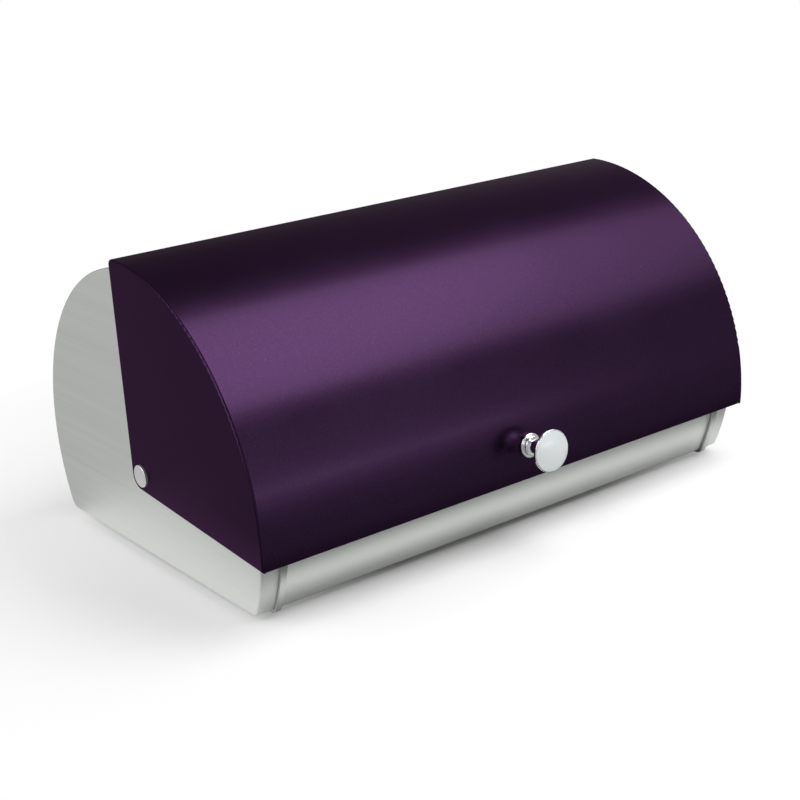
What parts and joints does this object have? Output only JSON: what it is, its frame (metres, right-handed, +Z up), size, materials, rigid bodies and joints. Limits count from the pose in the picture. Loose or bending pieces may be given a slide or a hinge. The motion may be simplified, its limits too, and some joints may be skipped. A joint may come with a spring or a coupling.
{
  "type": "bread box",
  "caption": "Curved steel bread box whose lacquered lid turns back over the case on two side pins, with a round knob.",
  "frame": {"origin": "on the table under the middle of the box, knob included (bounding box, bottom centre)", "axes": "+X to the right along the box, -Y to the front where the knob is, +Z up"},
  "size_m": [0.3936, 0.2801, 0.1925],
  "materials": {
    "case_steel": "satin, fine brushed",
    "seam_steel": "satin",
    "lid_lacquer": "metallic purple lacquer with a clear coat",
    "rivet_satin": "satin",
    "nylon": "matte",
    "spring_steel": "satin",
    "rubber": "matte",
    "fastener_steel": "satin",
    "knob_chrome": "mirror",
    "knob_white": "gloss"
  },
  "bodies": {
    "case": {"end_panel_left": "case_steel", "seam_strip_left": "seam_steel", "pivot_rivet_left": "rivet_satin", "pivot_spacer_left": "nylon", "pivot_clip_left": "spring_steel", "end_panel_right": "case_steel", "seam_strip_right": "seam_steel", "pivot_rivet_right": "rivet_satin", "pivot_spacer_right": "nylon", "pivot_clip_right": "spring_steel", "foot_front_left": "rubber", "foot_rivet_front_left": "fastener_steel", "foot_front_right": "rubber", "foot_rivet_front_right": "fastener_steel", "foot_back_left": "rubber", "foot_rivet_back_left": "fastener_steel", "foot_back_right": "rubber", "foot_rivet_back_right": "fastener_steel", "case_sheet": "case_steel"},
    "lid": {"lid_side_left": "lid_lacquer", "lid_bumper_left": "rubber", "lid_side_right": "lid_lacquer", "lid_bumper_right": "rubber", "lid_skin": "lid_lacquer", "knob_collar": "knob_chrome", "knob_bell": "knob_chrome", "knob_face": "knob_white", "knob_washer": "fastener_steel", "knob_screw": "fastener_steel"}
  },
  "joints": [
    {"name": "lid_hinge", "type": "hinge", "parent": "case", "child": "lid", "pos_m": [0, 0.01397, 0.0605], "axis": [-1, 0, 0], "range_deg": [0, 90]}
  ]
}
